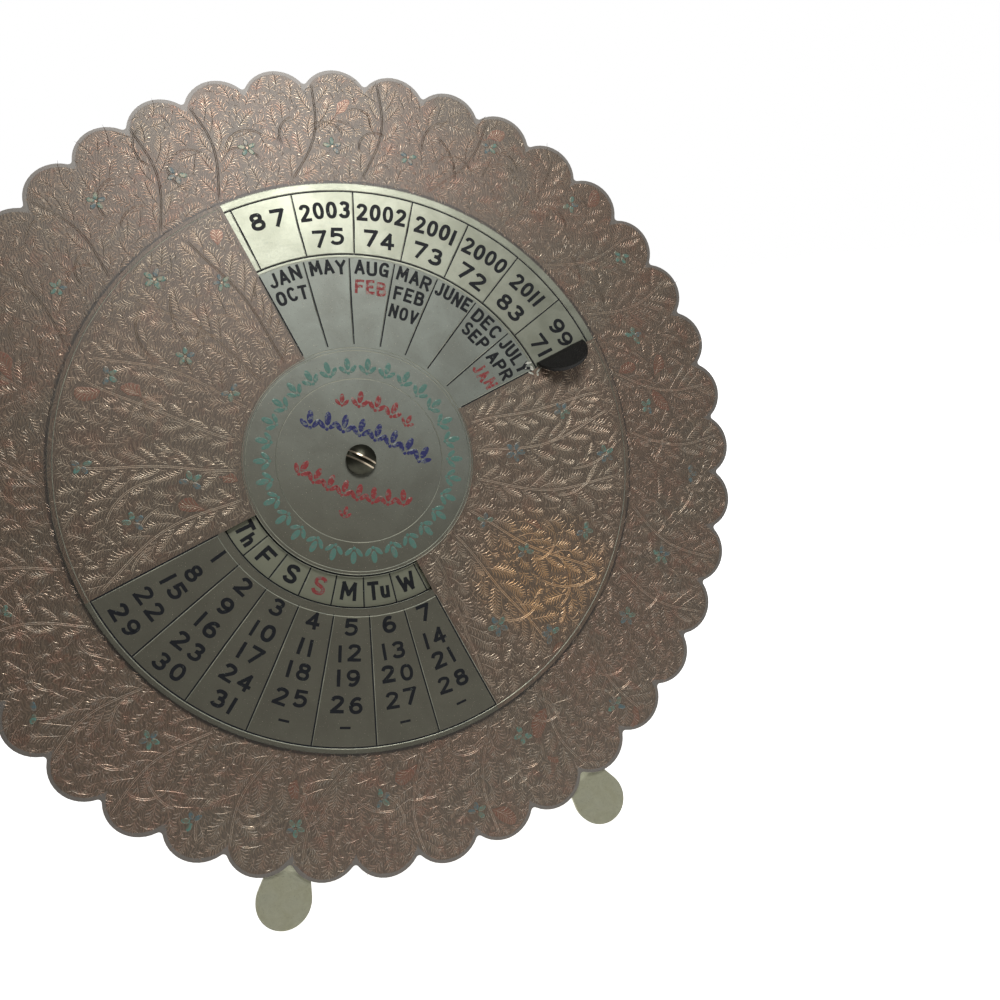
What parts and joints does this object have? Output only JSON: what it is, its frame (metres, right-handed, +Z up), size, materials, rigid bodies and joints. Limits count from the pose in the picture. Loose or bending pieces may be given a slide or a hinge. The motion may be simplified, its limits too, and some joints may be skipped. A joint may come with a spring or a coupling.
{
  "type": "perpetual desk calendar",
  "caption": "Scalloped brass dial on tear-drop feet and a folding rear strut, with a notched front disc that turns to line years up with months and weekdays with dates.",
  "frame": {"origin": "on the floor, under the middle of the object's box", "axes": "+Z up, -Y out of the dial's front and down at the viewer, +X to the viewer's right; the dial leans back 18 degrees"},
  "size_m": [0.19, 0.0961, 0.1833],
  "materials": {
    "bracket_brass": "tarnished sheet or turned brass",
    "dial_brass": "engraved brass under brown tarnish, with touches of enamel",
    "disc_brass": "engraved brass under brown tarnish, with touches of enamel",
    "leg_brass": "tarnished sheet or turned brass",
    "nut_brass": "tarnished sheet or turned brass",
    "pin_brass": "tarnished sheet or turned brass",
    "rivet_brass": "tarnished sheet or turned brass",
    "screw_brass": "tarnished sheet or turned brass",
    "spring_steel": "dull spring steel",
    "strut_brass": "tarnished sheet or turned brass",
    "washer_brass": "tarnished sheet or turned brass"
  },
  "bodies": {
    "stand": {"back_plate": "dial_brass", "center_screw": "screw_brass", "thrust_washer": "washer_brass", "spacer_washer": "washer_brass", "back_washer": "washer_brass", "spring_washer": "spring_steel", "center_nut": "nut_brass", "lock_nut": "nut_brass", "left_leg": "leg_brass", "right_leg": "leg_brass", "left_leg_rivets": "rivet_brass", "right_leg_rivets": "rivet_brass", "hinge_bracket": "bracket_brass", "bracket_rivets": "rivet_brass", "hinge_pin": "pin_brass"},
    "disc": {"front_disc": "disc_brass"},
    "strut": {"rear_strut": "strut_brass"}
  },
  "joints": [
    {"name": "disc_turn", "type": "hinge", "parent": "stand", "child": "disc", "pos_m": [0, -0.01795, 0.09311], "axis": [0, -0.9511, 0.309], "continuous": true},
    {"name": "strut_fold", "type": "hinge", "parent": "stand", "child": "strut", "pos_m": [0, 0.0024, 0.13066], "axis": [1, 0, 0], "range_deg": [-36, 0]}
  ]
}
